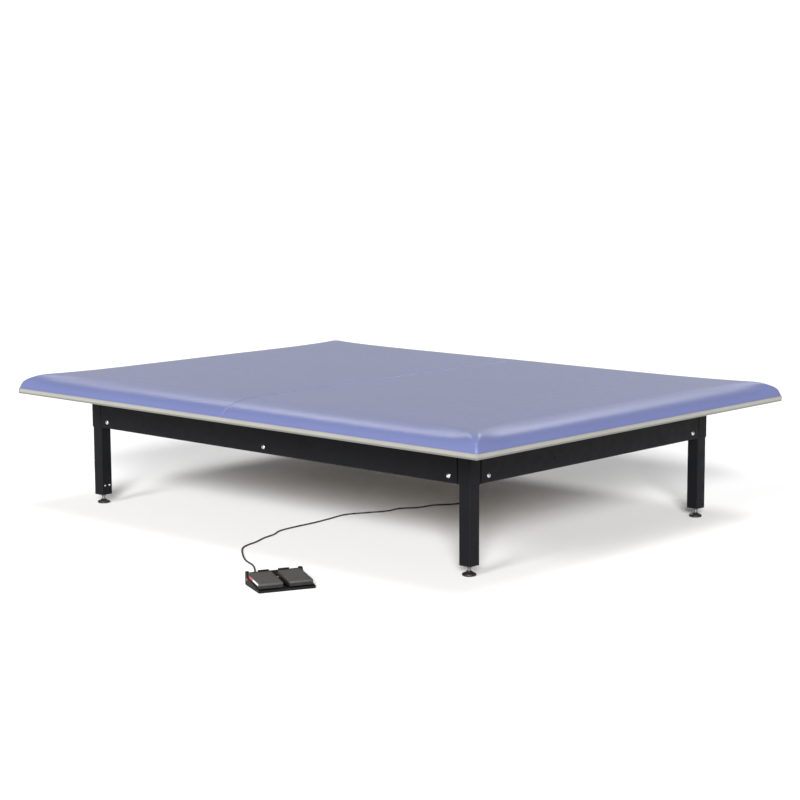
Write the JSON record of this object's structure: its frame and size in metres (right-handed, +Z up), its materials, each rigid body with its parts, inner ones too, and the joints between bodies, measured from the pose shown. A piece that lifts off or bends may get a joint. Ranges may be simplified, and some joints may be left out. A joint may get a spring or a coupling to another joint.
{
  "type": "powered treatment table",
  "caption": "Low, wide upholstered treatment platform on telescoping square legs with levelling feet, raised and lowered by a corded foot control with rocker pedals.",
  "frame": {"origin": "on the floor, under the middle of the whole object's box; the platform's own centre is 0.2101 m behind it, because the foot control lies in front", "axes": "+X along the platform's length, towards its right end as seen from the side the foot control is on; +Y across it, from the foot control's side to the other; +Z up"},
  "size_m": [2.4384, 2.2495, 0.5298],
  "materials": {
    "vinyl": "periwinkle blue upholstery vinyl, fine grain, semi-gloss",
    "foam": "polyurethane foam, hidden",
    "board": "particle board, unfinished underside",
    "trim": "off-white T-moulding, satin",
    "frame": "near-black powder coat, satin",
    "steel": "plated steel",
    "zinc": "bright zinc",
    "bronze": "machined bronze",
    "motor": "dark grey, satin",
    "plastic": "black moulded plastic",
    "grey_plastic": "dark grey moulded plastic",
    "foot": "black disc on a zinc stud",
    "tray": "black, satin",
    "pedal": "black grained tread",
    "cord": "black flexible jacket"
  },
  "bodies": {
    "stand": {"inner_leg_front_left": "steel", "inner_leg_back_left": "steel", "inner_leg_front_right": "steel", "inner_leg_back_right": "steel", "lift_nut_front_left": "bronze", "lift_nut_back_left": "bronze", "lift_nut_front_right": "bronze", "lift_nut_back_right": "bronze", "pedal_base": "tray", "pedal_rod": "steel", "cord_relief": "cord", "foot_cord": "cord"},
    "top": {"pad_cover": "vinyl", "pad_foam": "foam", "deck_board": "board", "edge_trim": "trim", "side_rail_front": "frame", "side_rail_back": "frame", "end_rail_left": "frame", "end_rail_right": "frame", "cross_member": "frame", "side_rail_front_bolt_1": "zinc", "side_rail_front_bolt_2": "zinc", "side_rail_front_bolt_3": "zinc", "side_rail_back_bolt_1": "zinc", "side_rail_back_bolt_2": "zinc", "side_rail_back_bolt_3": "zinc", "end_rail_left_bolt_1": "zinc", "end_rail_left_bolt_2": "zinc", "end_rail_right_bolt_1": "zinc", "end_rail_right_bolt_2": "zinc", "corner_post_front_left": "frame", "corner_post_back_left": "frame", "corner_post_front_right": "frame", "corner_post_back_right": "frame", "leg_tube_front_left": "frame", "leg_tube_back_left": "frame", "leg_tube_front_right": "frame", "leg_tube_back_right": "frame", "glide_bush_front_left": "plastic", "glide_bush_back_left": "plastic", "glide_bush_front_right": "plastic", "glide_bush_back_right": "plastic", "gear_motor_front_left": "motor", "gear_motor_back_left": "motor", "gear_motor_front_right": "motor", "gear_motor_back_right": "motor", "control_box": "grey_plastic", "power_inlet": "plastic", "cord_gland": "plastic"},
    "screw_front_left": {"lead_screw_front_left": "steel"},
    "screw_back_left": {"lead_screw_back_left": "steel"},
    "screw_front_right": {"lead_screw_front_right": "steel"},
    "screw_back_right": {"lead_screw_back_right": "steel"},
    "foot_front_left": {"levelling_foot_front_left": "foot"},
    "foot_back_left": {"levelling_foot_back_left": "foot"},
    "foot_front_right": {"levelling_foot_front_right": "foot"},
    "foot_back_right": {"levelling_foot_back_right": "foot"},
    "pedal_left": {"pedal_left": "pedal"},
    "pedal_right": {"pedal_right": "pedal"}
  },
  "joints": [
    {"name": "lift", "type": "slide", "parent": "stand", "child": "top", "axis": [0, 0, 1], "range_m": [0, 0.2032]},
    {"name": "screw_turn_front_left", "type": "hinge", "parent": "top", "child": "screw_front_left", "pos_m": [-0.984, -0.46912, 0.24], "axis": [0, 0, 1], "range_deg": [0, 18288]},
    {"name": "screw_turn_back_left", "type": "hinge", "parent": "top", "child": "screw_back_left", "pos_m": [-0.984, 0.88928, 0.24], "axis": [0, 0, 1], "range_deg": [0, 18288]},
    {"name": "screw_turn_front_right", "type": "hinge", "parent": "top", "child": "screw_front_right", "pos_m": [0.984, -0.46912, 0.24], "axis": [0, 0, 1], "range_deg": [0, 18288]},
    {"name": "screw_turn_back_right", "type": "hinge", "parent": "top", "child": "screw_back_right", "pos_m": [0.984, 0.88928, 0.24], "axis": [0, 0, 1], "range_deg": [0, 18288]},
    {"name": "foot_level_front_left", "type": "slide", "parent": "stand", "child": "foot_front_left", "axis": [0, 0, -1], "range_m": [0, 0.02]},
    {"name": "foot_level_back_left", "type": "slide", "parent": "stand", "child": "foot_back_left", "axis": [0, 0, -1], "range_m": [0, 0.02]},
    {"name": "foot_level_front_right", "type": "slide", "parent": "stand", "child": "foot_front_right", "axis": [0, 0, -1], "range_m": [0, 0.02]},
    {"name": "foot_level_back_right", "type": "slide", "parent": "stand", "child": "foot_back_right", "axis": [0, 0, -1], "range_m": [0, 0.02]},
    {"name": "pedal_press_left", "type": "hinge", "parent": "stand", "child": "pedal_left", "pos_m": [0.56559, -0.98223, 0.02], "axis": [0.4163, 0.9092, 0], "range_deg": [0, 3], "stiffness_Nm_per_rad": 10, "springref_deg": -3.44},
    {"name": "pedal_press_right", "type": "hinge", "parent": "stand", "child": "pedal_right", "pos_m": [0.56559, -0.98223, 0.02], "axis": [0.4163, 0.9092, 0], "range_deg": [0, 3], "stiffness_Nm_per_rad": 10, "springref_deg": -3.44}
  ],
  "couplings": [
    {"joint": "screw_turn_front_left", "follows": "lift", "rad_per_m": 1570.8},
    {"joint": "screw_turn_back_left", "follows": "lift", "rad_per_m": 1570.8},
    {"joint": "screw_turn_front_right", "follows": "lift", "rad_per_m": 1570.8},
    {"joint": "screw_turn_back_right", "follows": "lift", "rad_per_m": 1570.8}
  ]
}
